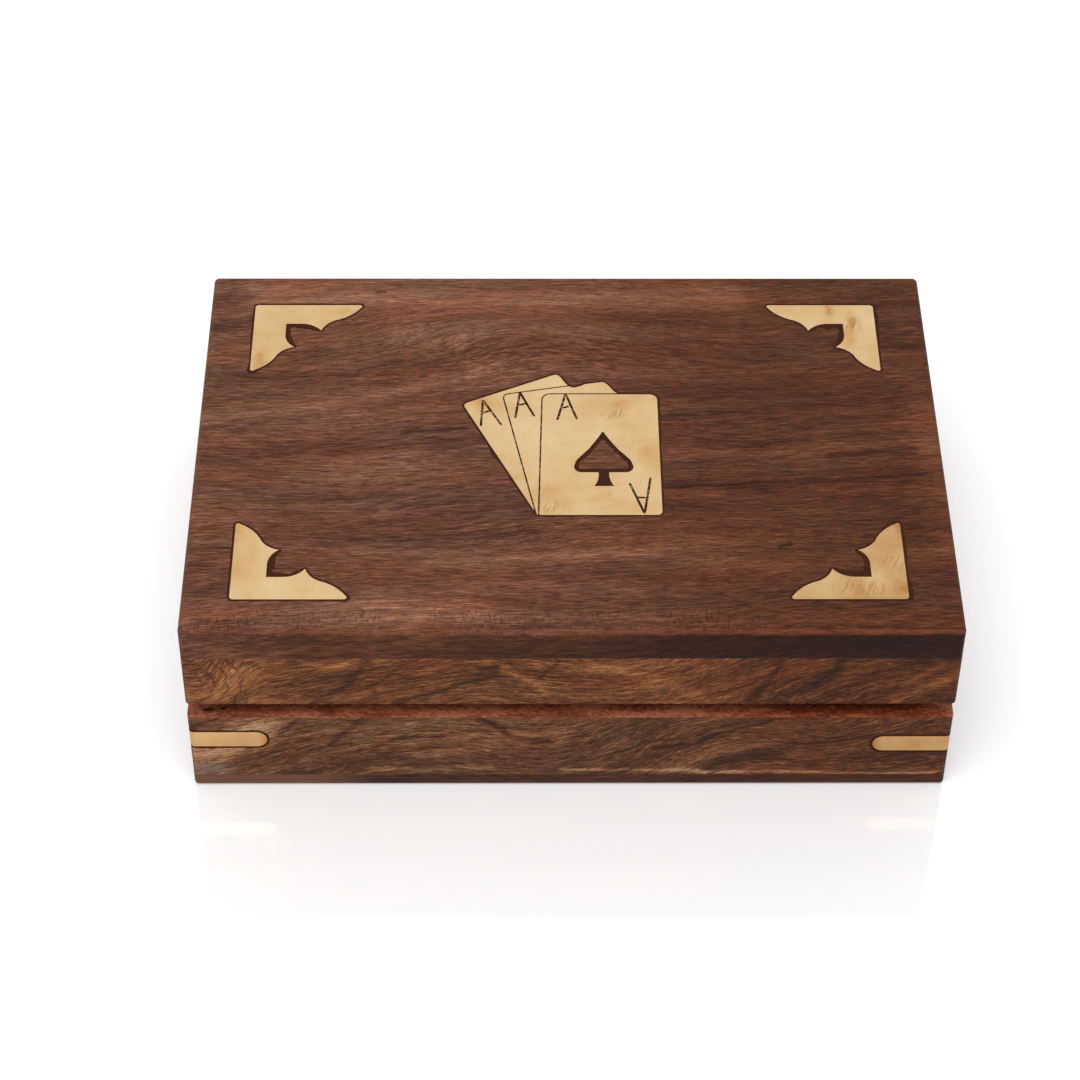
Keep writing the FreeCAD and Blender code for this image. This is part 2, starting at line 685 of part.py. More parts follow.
def add_knob():
    """Turned knob, held by a round-headed screw from inside the drawer."""
    rim_start = knob_length - knob_rim_width - knob_face_bevel
    profile = [(0.0, knob_foot_radius), (knob_foot_thickness, knob_foot_radius),
               (knob_foot_thickness, knob_neck_radius), (knob_neck_length, knob_neck_radius),
               (rim_start, knob_radius), (rim_start + knob_rim_width, knob_radius),
               (knob_length, knob_radius - knob_face_bevel)]
    outward = Vector(1, 0, 0)
    socket = rod(Vector(half_width, 0, knob_z), outward, knob_screw_radius + thread_gap,
                 knob_screw_grip + thread_gap)
    nodes["drawer_knob"] = turned(profile, Vector(half_width, 0, knob_z), outward).cut(socket)
    head_x = inner_half_width - knob_screw_head_height
    head = rod(Vector(head_x, 0, knob_z), outward, knob_screw_head_radius, knob_screw_head_height)
    shank = rod(Vector(inner_half_width, 0, knob_z), outward, knob_screw_radius,
                wall_thickness + knob_screw_grip)
    nodes["drawer_knob_screw"] = head.fuse(shank).removeSplitter()


add_base()
add_walls()
add_lid()
add_wells()
add_hinges()
add_drawer()
add_drawer_guides()
add_knob()

os.makedirs("parts", exist_ok=True)
for name, shape in nodes.items():
    shape.exportStep("parts/" + name + ".step")
print(len(nodes), "nodes")
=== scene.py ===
import math

import bpy
from mathutils import Matrix, Vector, noise


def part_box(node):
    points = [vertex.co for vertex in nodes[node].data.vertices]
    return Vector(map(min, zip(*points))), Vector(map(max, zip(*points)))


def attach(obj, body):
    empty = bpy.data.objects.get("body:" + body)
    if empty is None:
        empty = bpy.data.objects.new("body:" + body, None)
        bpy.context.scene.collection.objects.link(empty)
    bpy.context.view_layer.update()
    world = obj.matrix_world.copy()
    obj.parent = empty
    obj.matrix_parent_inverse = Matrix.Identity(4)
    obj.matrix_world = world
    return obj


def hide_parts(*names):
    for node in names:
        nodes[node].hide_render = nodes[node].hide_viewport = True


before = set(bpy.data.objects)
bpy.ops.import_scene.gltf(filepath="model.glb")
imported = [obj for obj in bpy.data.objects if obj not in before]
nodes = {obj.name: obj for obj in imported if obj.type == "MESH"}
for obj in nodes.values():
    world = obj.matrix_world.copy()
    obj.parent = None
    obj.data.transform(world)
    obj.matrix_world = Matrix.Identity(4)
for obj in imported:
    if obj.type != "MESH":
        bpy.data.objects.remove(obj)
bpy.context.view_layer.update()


# ---------------------------------------------------------------------- top panel
# One board of Indian rosewood, sanded and waxed, glued on the lid's rails. Its grain runs along
# the box and flows round an oval figure near the back. The brass is let into it from above.

millimetre = 0.001


class Recipe:
    """A material, mixed one node at a time. Each method gives what comes out of its node."""

    def __init__(self, name):
        self.material = bpy.data.materials.new(name)
        self.material.use_nodes = True
        self.tree = self.material.node_tree
        self.shader = self.tree.nodes["Principled BSDF"]

    def add(self, kind, *inputs, **settings):
        """New node, with a value or a link for each input in turn. None leaves one as it is."""
        new = self.tree.nodes.new(kind)
        for setting, value in settings.items():
            setattr(new, setting, value)
        for socket, value in zip(new.inputs, inputs):
            if isinstance(value, bpy.types.NodeSocket):
                self.tree.links.new(value, socket)
            elif value is not None:
                socket.default_value = value
        return new.outputs

    def reckon(self, operation, *values):
        return self.add("ShaderNodeMath", *values, operation=operation)[0]

    def vector(self, operation, *values):
        return self.add("ShaderNodeVectorMath", *values, operation=operation)[0]

    def measure(self, operation, *values):
        return self.add("ShaderNodeVectorMath", *values, operation=operation)["Value"]

    def joined(self, x, y, z=0.0):
        return self.add("ShaderNodeCombineXYZ", x, y, z)[0]

    def split(self, vector):
        return self.add("ShaderNodeSeparateXYZ", vector)

    def place(self, turn=(0, 0, 0), shift=(0, 0, 0)):
        """Position on the piece in millimetres, turned and then shifted."""
        spot = self.add("ShaderNodeTexCoord")["Object"]
        return self.add("ShaderNodeMapping", spot, shift, turn, (1 / millimetre,) * 3)[0]

    def noise(self, vector, size, detail=2.0, roughness=0.5):
        """Soft random value about 0.5. size is how far apart its lumps are each way."""
        scaled = self.vector("MULTIPLY", vector, tuple(1 / length for length in size))
        return self.add("ShaderNodeTexNoise", scaled, None, 1.0, detail, roughness)[0]

    def between(self, value, low, high, at_low=0.0, at_high=1.0):
        """Eases from one value to another as the input passes from low to high."""
        return self.add("ShaderNodeMapRange", value, low, high, at_low, at_high,
                        interpolation_type="SMOOTHSTEP")[0]

    def oval(self, spot, centre, half_size):
        """How far out a point is, from 0 at an oval's centre to 1 on its rim."""
        scale = (1 / half_size[0], 1 / half_size[1], 0)
        gap = self.vector("SUBTRACT", spot, (*centre, 0))
        return self.measure("LENGTH", self.vector("MULTIPLY", gap, scale))

    def vein(self, spot, half_width, points):
        """Share, from 1 on the line through the points to 0 at its half width."""
        nearest = None
        for start, end in zip(points, points[1:]):
            run = Vector((*end, 0)) - Vector((*start, 0))
            gap = self.vector("SUBTRACT", spot, (*start, 0))
            share = self.measure("DOT_PRODUCT", gap, tuple(run / run.length_squared))
            share = self.add("ShaderNodeClamp", share)[0]
            foot = self.vector("SCALE", tuple(run), None, None, share)
            away = self.measure("LENGTH", self.vector("SUBTRACT", gap, foot))
            nearest = self.reckon("MINIMUM", nearest, away) if nearest else away
        return self.between(nearest, half_width, 0.0)

    def colours(self, value, stops):
        """Colour for a value, blended between stops of (value, colour)."""
        new = self.tree.nodes.new("ShaderNodeValToRGB")
        self.tree.links.new(value, new.inputs[0])
        elements = new.color_ramp.elements
        while len(elements) < len(stops):
            elements.new(0.5)
        for element, (position, colour) in zip(elements, stops):
            element.position = position
            element.color = shade(colour)
        return new.outputs[0]

    def lay(self, share, colour, kind="MIX"):
        """Lays a colour over what the piece has so far: MIX covers it, MULTIPLY stains it."""
        if isinstance(colour, tuple):
            colour = shade(colour)
        not_colours = (None,) * 5     # the node's sockets for mixing numbers and vectors
        mixed = self.add("ShaderNodeMix", share, *not_colours, self.colour, colour,
                         data_type="RGBA", blend_type=kind)
        self.paint(mixed[2])

    def paint(self, colour):
        """Gives the whole piece one colour or pattern."""
        self.colour = colour
        self.into("Base Color", colour)

    def into(self, socket, value):
        """Sets one of the surface's own sockets."""
        if isinstance(value, bpy.types.NodeSocket):
            self.tree.links.new(value, self.shader.inputs[socket])
        else:
            self.shader.inputs[socket].default_value = value

    def relief(self, height, depth):
        """Fine roughness that you would feel: depth is how deep it is, in metres."""
        self.into("Normal", self.add("ShaderNodeBump", 1.0, depth, None, height)[0])


def shade(colour):
    """Linear colour from one written as red, green and blue from 0 to 255."""
    linear = []
    for part in colour:
        part /= 255
        linear.append(part / 12.92 if part <= 0.04045 else ((part + 0.055) / 1.055) ** 2.4)
    return (*linear, 1.0)


grain_along_x = (0, 0, 0)
grain_along_y = (0, 0, -math.pi / 2)
flat_sawn = (1.0, 0.35)      # how fast the growth rings pass along v and along w
edge_on = (0.2, 1.0)


def rosewood(name, tones, grain=grain_along_x, shift=(0, 0, 0), rings=flat_sawn, slope=0.0,
             swirl=7.0, fibre_size=(4.2, 0.24), contrast=1.0, ink=0.0, figure=(), veins=()):
    """Rosewood, with its grain along u and its growth rings stacked across v and w.

    slope and swirl tilt and bend the rings, and ink is the strength of dark lines along them.
    figure: (centre, half size, lift) of each swelling that the rings flow round.
    veins: (strength, half width, points) of each darker (-) or paler (+) streak on the show face.
    """
    recipe = Recipe(name)
    spot = recipe.place(grain, shift)
    u, v, w = recipe.split(spot)
    turned = recipe.reckon("MULTIPLY", w, rings[1])
    across = recipe.reckon("MULTIPLY_ADD", v, rings[0], turned)
    face = recipe.joined(u, v if rings is flat_sawn else w)
    drift = recipe.reckon("SUBTRACT", recipe.noise(spot, (70, 26, 26), 1.5), 0.5)
    offset = recipe.reckon("MULTIPLY_ADD", u, slope, recipe.reckon("MULTIPLY", drift, swirl))
    for centre, half_size, lift in figure:
        reach = recipe.oval(face, centre, half_size)
        offset = recipe.reckon("ADD", offset, recipe.between(reach, 0.0, 1.6, lift, 0.0))
    flow = recipe.reckon("ADD", across, offset)

    # Growth rings: broad, middling and fine streaks and single strands, all following the flow.
    # Each has its size along the grain, across the flow and aside from it, and its weight.
    tone = 0.5
    layers = recipe.joined(u, flow, recipe.reckon("SUBTRACT", w, v))
    for size, weight in (((90, 8, 50), 0.32), ((50, 3, 25), 0.20), ((24, 1.1, 12), 0.13),
                         ((5.5, 0.32, 3), 0.60)):
        streak = recipe.reckon("SUBTRACT", recipe.noise(layers, size, 1.5), 0.5)
        tone = recipe.reckon("MULTIPLY_ADD", streak, weight * contrast, tone)
    line = recipe.between(recipe.noise(layers, (60, 2.6, 30), 1.0), 0.60, 0.68, 0.0, -ink)
    tone = recipe.reckon("ADD", tone, line)

    # Veins of their own, wandering a little and of uneven width.
    if veins:
        waves = recipe.vector("MULTIPLY", face, (0.1, 0.22, 0))
        waves = recipe.add("ShaderNodeTexNoise", waves, None, 1.0, 2.0)[1]
        waves = recipe.vector("SUBTRACT", waves, (0.5, 0.5, 0.5))
        wandering = recipe.vector("ADD", face, recipe.vector("SCALE", waves, None, None, 2.4))
        ragged = recipe.between(recipe.noise(layers, (9, 0.4, 4), 2.0), 0.3, 0.7, 0.5, 1.0)
        for strength, half_width, points in veins:
            share = recipe.reckon("MULTIPLY", recipe.vein(wandering, half_width, points), ragged)
            tone = recipe.reckon("MULTIPLY_ADD", share, strength, tone)

    # Fibre, and the pores in it: short dark dashes along the grain.
    strand = recipe.joined(u, recipe.reckon("MULTIPLY_ADD", offset, rings[0], v),
                           recipe.reckon("MULTIPLY_ADD", offset, rings[1], w))
    length, width = fibre_size
    fibre = recipe.noise(strand, (length, width, width), 3.0, 0.75)
    streak = recipe.reckon("SUBTRACT", fibre, 0.5)
    tone = recipe.reckon("MULTIPLY_ADD", streak, 0.9 * contrast, tone)
    pore = recipe.noise(strand, (0.5 * length, 0.8 * width, 0.8 * width), 1.0)
    pore = recipe.between(pore, 0.55, 0.66)
    recipe.paint(recipe.colours(tone, tones))
    recipe.lay(recipe.reckon("MULTIPLY", pore, 0.5), (34, 17, 12))

    # Some streaks of the board are tawnier, redder or greyer than the rest.
    for size, tint in (((30, 2.2, 14), (240, 238, 222)), ((40, 9, 24), (255, 238, 230)),
                       ((34, 4, 20), (230, 232, 240))):
        streak = recipe.between(recipe.noise(layers, size, 2.0), 0.42, 0.60, 0.0, 0.9)
        recipe.lay(streak, tint, "MULTIPLY")
    recipe.spot = spot
    recipe.axes = (u, v, w)
    recipe.into("Roughness", recipe.between(fibre, 0.3, 0.7, 0.58, 0.48))
    recipe.into("Specular IOR Level", 0.10)
    recipe.relief(recipe.reckon("SUBTRACT", fibre, pore), 0.05 * millimetre)
    return recipe


top_tones = ((0.04, (46, 26, 19)), (0.32, (78, 45, 32)), (0.50, (108, 68, 50)),
             (0.68, (136, 91, 69)), (0.96, (174, 126, 99)))
top_veins = ((0.34, 9.0, ((-70, 49), (-20, 49), (38, 49))),
             (0.12, 8.0, ((-38, 36), (4, 36))),
             (0.18, 7.0, ((-86, -52), (-50, -52), (-20, -50))),
             (0.18, 9.0, ((80, 14), (82, -30))),
             (-0.30, 0.6, ((34, -1.6), (44, -0.8))),
             (0.20, 3.2, ((-84, 7), (-60, 11), (-38, 17), (-16, 25))),
             (-0.16, 3.5, ((-80, -4), (-45, -1), (-18, 2))),
             (-0.30, 0.8, ((-37, 3.9), (-23, 4.6))),
             (-0.30, 0.7, ((20.4, -14.1), (40.8, -12.3), (62, -11.2), (84, -9.8))),
             (-0.20, 3.0, ((36, -14), (84, -12.5))),
             (-0.32, 2.2, ((58, -4.2), (76, -2.4))),
             (-0.16, 2.6, ((24, 9), (50, 11), (84, 17))),
             (-0.20, 4.0, ((62, 33), (84, 32))),
             (-0.45, 1.1, ((44.8, -31.8), (46.8, -31.2))),
             (-0.45, 0.8, ((-44.4, 50.6), (-42.2, 50.7))),
             (-0.14, 3.4, ((-84, -33), (-40, -30), (-8, -27))),
             (0.13, 3.0, ((-30, -36), (10, -34), (50, -38))))
top_wood = rosewood("waxed_rosewood_top", top_tones, slope=-0.05, swirl=9.0, contrast=1.12,
                    veins=top_veins,
                    figure=[((-15, 37), (40, 13), -7.5), ((-15, 37), (20, 5), -1.5)])

# Shares of 0 to 1 that tell the board's faces apart: its top, and the sawn edge below the
# rounding, at the front and elsewhere.
panel_low, panel_high = (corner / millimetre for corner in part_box("top_panel"))
edge_end_z = panel_high.z - 1.7
top_start_z = panel_high.z - 1.1
u, v, w = top_wood.axes
on_top = top_wood.between(w, edge_end_z, top_start_z)
on_edge = top_wood.between(w, panel_low.z + 0.02, panel_low.z + 0.1)
on_edge = top_wood.reckon("SUBTRACT", on_edge, on_top)
on_front = top_wood.between(v, panel_low.y + 0.6, panel_low.y + 0.2)
on_front = top_wood.reckon("MULTIPLY", on_edge, on_front)
on_other_edges = top_wood.reckon("SUBTRACT", on_edge, on_front)

# Painted shade darkens and reddens the board towards the right. Its sawn edges are darker still,
# and on the front one a deeper painted shade grows towards the right.
top_wood.lay(top_wood.between(u, -25.0, 45.0), (212, 193, 172), "MULTIPLY")
top_wood.lay(on_other_edges, (196, 184, 176), "MULTIPLY")
for start_x, end_x, tint in ((-82.0, -52.0, (214, 196, 172)), (-52.0, 70.0, (160, 138, 116))):
    share = top_wood.reckon("MULTIPLY", on_front, top_wood.between(u, start_x, end_x))
    top_wood.lay(share, tint, "MULTIPLY")

# The plane has torn the strip along the front: short ticks across the grain, and a red arris.
strip = top_wood.reckon("MULTIPLY", top_wood.between(v, -48.5, -52.5), on_top)
strip = top_wood.reckon("MULTIPLY", strip, top_wood.between(u, 54.0, 30.0))
patchy = top_wood.between(top_wood.noise(top_wood.spot, (12, 5, 9)), 0.34, 0.54)
tick = top_wood.noise(top_wood.spot, (0.5, 2.1, 2), 2.0, 0.6)
tick = top_wood.between(tick, 0.46, 0.62, 0.0, 0.5)
torn = top_wood.reckon("MULTIPLY", top_wood.reckon("MULTIPLY", strip, patchy), tick)
top_wood.lay(torn, (34, 18, 12))
arris = top_wood.reckon("MULTIPLY", top_wood.between(v, panel_low.y + 0.75, panel_low.y + 0.4),
                        top_wood.between(w, top_start_z, top_start_z + 0.4))
sanded = top_wood.noise(top_wood.spot, (3, 0.8, 0.8), 4.0, 0.7)
sanded = top_wood.between(sanded, 0.32, 0.64, 0.15, 0.7)
top_wood.lay(top_wood.reckon("MULTIPLY", arris, sanded), (122, 66, 44))

hair = 0.01      # millimetres: heights closer than this are one and the same


def coat(piece, recipe):
    """Gives a piece its finish."""
    piece.data.materials.clear()
    piece.data.materials.append(recipe.material)


def taken_from(source, name, keep=None):
    """Own copy of a piece, its triangles joined up, with only the faces that the test keeps."""
    piece = bpy.data.objects.new(name, source.data.copy())
    bpy.context.collection.objects.link(piece)
    bpy.ops.object.select_all(action="DESELECT")
    bpy.context.view_layer.objects.active = piece
    piece.select_set(True)
    bpy.ops.mesh.customdata_custom_splitnormals_clear()
    bpy.ops.object.mode_set(mode="EDIT")
    bpy.ops.mesh.select_mode(type="FACE")
    bpy.ops.mesh.select_all(action="SELECT")
    bpy.ops.mesh.remove_doubles(threshold=0.002 * millimetre)
    bpy.ops.object.mode_set(mode="OBJECT")
    if keep:
        for polygon in piece.data.polygons:
            polygon.select = not keep(polygon.center / millimetre, polygon.normal)
        bpy.ops.object.mode_set(mode="EDIT")
        bpy.ops.mesh.delete(type="FACE")
        bpy.ops.object.mode_set(mode="OBJECT")
    bpy.ops.object.mode_set(mode="EDIT")
    bpy.ops.mesh.select_all(action="SELECT")
    bpy.ops.mesh.tris_convert_to_quads()
    bpy.ops.object.mode_set(mode="OBJECT")
    return piece


def levelled(piece, z):
    """Puts what lies within a hair of a height exactly at it, so that faces there join cleanly."""
    for point in piece.data.vertices:
        if abs(point.co.z / millimetre - z) < hair:
            point.co.z = z * millimetre


def upright_block(outline, low_z, high_z):
    """Block with that outline in plan, between two heights."""
    bpy.ops.object.select_all(action="DESELECT")
    bpy.ops.mesh.primitive_circle_add(vertices=len(outline), radius=millimetre, fill_type="NGON")
    block = bpy.context.object
    for point, (x, y) in zip(block.data.vertices, outline):
        point.co = Vector((x, y, low_z)) * millimetre
    bpy.ops.object.mode_set(mode="EDIT")
    bpy.ops.mesh.select_all(action="SELECT")
    rise = (0, 0, (high_z - low_z) * millimetre)
    bpy.ops.mesh.extrude_region_move(TRANSFORM_OT_translate={"value": rise})
    bpy.ops.mesh.select_all(action="SELECT")
    bpy.ops.mesh.normals_make_consistent(inside=False)
    bpy.ops.object.mode_set(mode="OBJECT")
    levelled(block, high_z)
    return block


def carved(piece, tool, operation):
    """Cuts a tool's shape out of a piece, or joins it on, and puts the tool away."""
    cut = piece.modifiers.new("cut", "BOOLEAN")
    cut.operation = operation
    cut.solver = "EXACT"
    cut.object = tool
    bpy.ops.object.select_all(action="DESELECT")
    bpy.context.view_layer.objects.active = piece
    piece.select_set(True)
    bpy.ops.object.modifier_apply(modifier=cut.name)
    bpy.data.objects.remove(tool)


# The saw has cut the two rear cards' free corners slanting, with a hollow at the foot of each
# cut. Their pocket follows: the board keeps its wood there.
slanted_cuts = (
    ((-3.2, 22.75), (-2.3, 22.3), (-1.6, 21.45), (-0.85, 20.0), (-0.1, 18.9), (0.5, 18.3),
     (1.3, 18.2), (2.6, 18.75), (3.6, 19.45), (3.6, 21.5), (0.5, 24.5), (-3.2, 24.0)),
    ((7.0, 20.3), (8.3, 19.75), (8.97, 19.05), (9.56, 18.15), (10.28, 16.95), (10.87, 16.35),
     (11.9, 16.05), (12.4, 16.3), (12.6, 18.5), (10.5, 21.5), (7.0, 21.5)))
gap_step = Vector((0.22, 0.3))      # from a cut's edge to its pocket's edge
# The spade is cut nearly straight from its tip to its lobes, and so is the wooden leaf left
# standing in it.
spade_axis_x = 7.55
spade_flank = ((0.0, 3.9), (0.35, 3.2), (1.2, 1.6), (2.25, -0.2), (3.4, -2.05), (4.75, -3.72),
               (5.8, -5.1), (6.3, -6.13), (6.45, -6.9))
leaf_inset = 0.9
root_depth = 2.0      # the wood added to the board reaches down past the pocket's floor


def spade_body(inset):
    """Outline of the spade between its two flanks, moved inward by the inset."""
    points = [Vector(point) for point in spade_flank]
    right_side = []
    for before, point, after in zip(points, points[1:], points[2:]):
        run = (after - before).normalized()
        moved = point + Vector((run.y, -run.x)) * inset
        if moved.x > 0:       # at the tip, an inset point can pass over to the other side
            right_side.append(moved)
    return ([(spade_axis_x + point.x, point.y) for point in right_side]
            + [(spade_axis_x - point.x, point.y) for point in reversed(right_side)])


board = taken_from(nodes["top_panel"], "top_board")
levelled(board, panel_high.z)
for outline in slanted_cuts:
    shifted = [Vector(point) + gap_step for point in outline]
    carved(board, upright_block(shifted, panel_high.z - root_depth, panel_high.z), "UNION")
leaf = upright_block(spade_body(leaf_inset), panel_high.z - root_depth, panel_high.z)
carved(board, leaf, "UNION")
bpy.ops.object.shade_smooth_by_angle(angle=math.radians(30))
coat(board, top_wood)
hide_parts("top_panel")
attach(board, "lid")


# ---------------------------------------------------------------------- lid rails
# Four boards mitred at the corners and glued under the top, with the finger groove planed along
# their lower edge. They are cut edge-on from the plank, so the rings show as bold dark lines.

mitre_offset = panel_high.x - panel_high.y      # how much more x is than y along a mitre


def glued_mitres(recipe):
    """Draws the thin dark glue line where a board meets its neighbours at 45 degrees."""
    x, y, _ = recipe.split(recipe.place())
    corner = recipe.reckon("SUBTRACT", recipe.reckon("ABSOLUTE", x), recipe.reckon("ABSOLUTE", y))
    corner = recipe.reckon("SUBTRACT", corner, mitre_offset)
    recipe.lay(recipe.between(recipe.reckon("ABSOLUTE", corner), 0.22, 0.06, 0.0, 0.8), (26, 13, 9))


rail_tones = ((0.04, (42, 22, 14)), (0.30, (72, 39, 22)), (0.50, (111, 63, 36)),
              (0.70, (150, 94, 54)), (0.96, (192, 134, 82)))


def ring_arc(centre, radius):
    """Part of a growth ring round the heart of a cut branch, as points on the show face."""
    return tuple((centre[0] + radius * math.cos(turn), centre[1] + radius * math.sin(turn))
                 for turn in (-1.2, -0.7, -0.2, 0.3, 0.8))


front_rail_veins = (
    *((-0.28, 0.6, ring_arc((-82.0, 33.5), radius)) for radius in (3.4, 6.2, 9.0, 12.0)),
    (0.27, 14.6, ((-84.0, 34.0), (-70.0, 33.0))),
    (-0.23, 1.6, ((-71.0, 40.4), (-66.5, 39.2))),
    (0.24, 1.2, ((-57.5, 40.4), (-52.0, 38.8), (-46.5, 39.8))),
    (-0.30, 1.7, ((-54.6, 27.0), (-49.7, 31.5), (-45.4, 36.4), (-42.5, 41.6))),
    (-0.19, 0.9, ((-43.7, 32.1), (-36.2, 39.1), (-32.4, 41.6))),
    (-0.30, 1.2, ((-38.0, 26.9), (-28.0, 30.8), (-23.0, 33.8), (-16.0, 35.9))),
    (-0.25, 2.0, ((-19.0, 37.2), (-16.4, 38.2))),
    (0.29, 1.6, ((-14.0, 37.4), (-8.5, 34.0), (-5.0, 30.4))),
    (-0.25, 0.8, ((-11.0, 30.5), (-4.6, 38.5), (-2.9, 41.0))),
    (0.22, 2.7, ((5.0, 38.5), (19.5, 34.3), (27.0, 30.0))),
    (-0.25, 0.9, ((23.7, 28.5), (34.0, 31.4), (39.0, 33.6), (43.1, 37.5))),
    (-0.25, 1.8, ((38.0, 27.6), (42.2, 34.3), (43.9, 41.2))),
    (-0.33, 2.2, ((43.5, 27.4), (52.6, 34.3), (56.0, 37.4), (57.3, 41.9))),
    (-0.23, 2.2, ((51.0, 27.0), (59.0, 32.0), (65.9, 37.4), (74.9, 41.2))),
    (0.36, 2.5, ((69.0, 27.8), (75.7, 32.0), (83.0, 37.4))),
    (0.26, 1.3, ((70.4, 33.0), (78.1, 39.0))))
front_rail_wood = rosewood("waxed_rosewood_rail_front", rail_tones, rings=edge_on, slope=-0.22,
                           swirl=12.0, fibre_size=(2.3, 0.26), contrast=1.5,
                           figure=[((14, 34), (24, 40), 8.0), ((-79, 34), (9, 12), 8.0)],
                           veins=front_rail_veins)
# Painted shade: the front rail darkens towards the right.
painted_shade_right = front_rail_wood.between(front_rail_wood.axes[0], 20.0, 50.0)
front_rail_wood.lay(painted_shade_right, (214, 200, 184), "MULTIPLY")
rail_wood = {"front": front_rail_wood}
for side, grain, shift, slope in (("back", grain_along_x, (37, 60, 80), 0.12),
                                  ("left", grain_along_y, (210, 30, 40), 0.2),
                                  ("right", grain_along_y, (-150, 90, 10), -0.15)):
    rail_wood[side] = rosewood("waxed_rosewood_rail_" + side, rail_tones, grain, shift, edge_on,
                               slope, swirl=16.0, fibre_size=(2.4, 0.24), ink=0.3)
for side, recipe in rail_wood.items():
    glued_mitres(recipe)
    coat(nodes["lid_rail_" + side], recipe)


# ---------------------------------------------------------------------- walls
# Four boards of the case, mitred and glued like the lid's, a little greyer. Their upper edge
# shows in the finger groove: bare reddish wood, speckled with dust and wax.

wall_tones = ((0.04, (42, 23, 16)), (0.30, (68, 39, 24)), (0.50, (106, 64, 39)),
              (0.70, (143, 98, 68)), (0.96, (188, 150, 116)))
front_wall_veins = (
    (0.58, 9.0, ((-86.0, 8.0), (-77.0, 12.0), (-68.0, 19.0))),
    (-0.25, 0.7, ((-82.0, 19.2), (-76.0, 22.4))),
    (-0.25, 0.7, ((-75.0, 17.6), (-66.5, 22.4))),
    (-0.30, 1.1, ((-66.0, 14.0), (-61.0, 19.1), (-58.2, 22.4))),
    (-0.23, 0.6, ((-82.0, 4.6), (-74.0, 8.0), (-66.0, 11.5))),
    (-0.23, 0.6, ((-78.0, 4.2), (-69.0, 8.6), (-61.0, 12.6))),
    (-0.22, 0.6, ((-70.0, 5.0), (-60.0, 9.5), (-54.0, 12.8))),
    (-0.23, 1.3, ((-52.2, 13.8), (-49.0, 17.8), (-44.5, 22.4))),
    (-0.30, 1.1, ((-41.3, 13.8), (-36.9, 15.8), (-30.4, 15.8), (-23.9, 17.7), (-17.4, 18.1))),
    (-0.33, 1.3, ((-19.5, 22.4), (-15.2, 19.1), (-12.6, 16.1), (-5.0, 15.1))),
    (0.24, 2.2, ((-34.0, 10.0), (-18.0, 12.0))),
    (0.31, 1.5, ((-43.0, 5.4), (-33.0, 5.2), (-17.0, 5.6))),
    (0.19, 3.6, ((5.0, 8.5), (13.0, 14.5))),
    (-0.25, 0.8, ((3.1, 8.0), (9.6, 10.4), (15.4, 13.7), (23.1, 16.0))),
    (-0.33, 1.0, ((18.0, 12.5), (26.5, 13.7), (29.6, 16.3), (34.7, 17.7), (43.0, 21.6))),
    (-0.31, 0.9, ((27.4, 17.3), (31.4, 19.3), (37.8, 21.0))),
    (-0.30, 2.2, ((29.5, 4.6), (33.1, 8.0), (38.4, 9.6), (45.8, 10.3))),
    (-0.22, 2.7, ((40.5, 11.0), (50.8, 13.7), (63.5, 16.0))),
    (-0.10, 2.9, ((62.0, 9.0), (80.0, 12.5))),
    (0.50, 1.0, ((-2.1, 4.9), (24.0, 4.9), (30.0, 4.2))),
    (0.48, 0.9, ((28.0, 4.1), (60.0, 4.2), (80.0, 4.0))))
rim_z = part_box("wall_front")[1].z / millimetre
below_rim = (rim_z - 0.15, rim_z - 0.05)      # where a wall's face passes into its rim


def wall_wood(side, grain, shift, slope, **looks):
    """Rosewood for a wall, with its glued mitres and its bare rim."""
    recipe = rosewood("waxed_rosewood_wall_" + side, wall_tones, grain, shift, edge_on, slope,
                      swirl=14.0, fibre_size=(2.3, 0.24), **looks)
    glued_mitres(recipe)
    own_spot = recipe.place()
    rim = recipe.between(recipe.split(own_spot)[2], *below_rim)
    speck = recipe.noise(own_spot, (1.0, 0.6, 0.6), 3.0, 0.7)
    worn = recipe.reckon("MULTIPLY_ADD", recipe.noise(own_spot, (9, 3, 3), 2.0), 0.8, speck)
    recipe.lay(rim, recipe.colours(worn, ((0.62, (98, 45, 30)), (0.9, (138, 75, 50)),
                                          (1.0, (168, 104, 75)))))
    return recipe


front_wall_wood = wall_wood("front", grain_along_x, (0, 0, 0), -0.22, contrast=1.45,
                            veins=front_wall_veins,
                            figure=[((-4, 14), (18, 30), 7.0), ((36, 14), (14, 30), -4.0)])
face_x, face_y, face_z = front_wall_wood.axes
# Painted shade: the front wall darkens towards the right.
painted_shade_right = front_wall_wood.between(face_x, 22.0, 56.0)
front_wall_wood.lay(painted_shade_right, (236, 214, 192), "MULTIPLY")
# A painted greyish sheen lightens the lower left corner, and two small pits lie in the rim above
# it.
face = front_wall_wood.joined(face_x, face_z)
painted_corner_sheen = front_wall_wood.oval(face, (-79, 5.5), (7, 3))
painted_corner_sheen = front_wall_wood.between(painted_corner_sheen, 0.2, 1.2, 0.45, 0.0)
front_wall_wood.lay(painted_corner_sheen, (112, 108, 102))
plan = front_wall_wood.joined(face_x, face_y)
in_rim = front_wall_wood.between(face_z, *below_rim)
for centre, half_size in (((-78.0, -54.2), (1.6, 0.6)), ((-74.8, -53.9), (0.6, 0.5))):
    pit = front_wall_wood.between(front_wall_wood.oval(plan, centre, half_size), 0.6, 1.1, 0.9, 0.0)
    front_wall_wood.lay(front_wall_wood.reckon("MULTIPLY", pit, in_rim), (24, 10, 8))
coat(nodes["wall_front"], front_wall_wood)
coat(nodes["wall_back"], wall_wood("back", grain_along_x, (70, 20, 30), 0.2, ink=0.3))
coat(nodes["wall_left"], wall_wood("left", grain_along_y, (110, 80, 60), 0.15, ink=0.3))
right_wall_wood = wall_wood("right", grain_along_y, (-90, 50, 90), -0.1, ink=0.3)
for name in ("wall_right", "drawer_front"):
    coat(nodes[name], right_wall_wood)
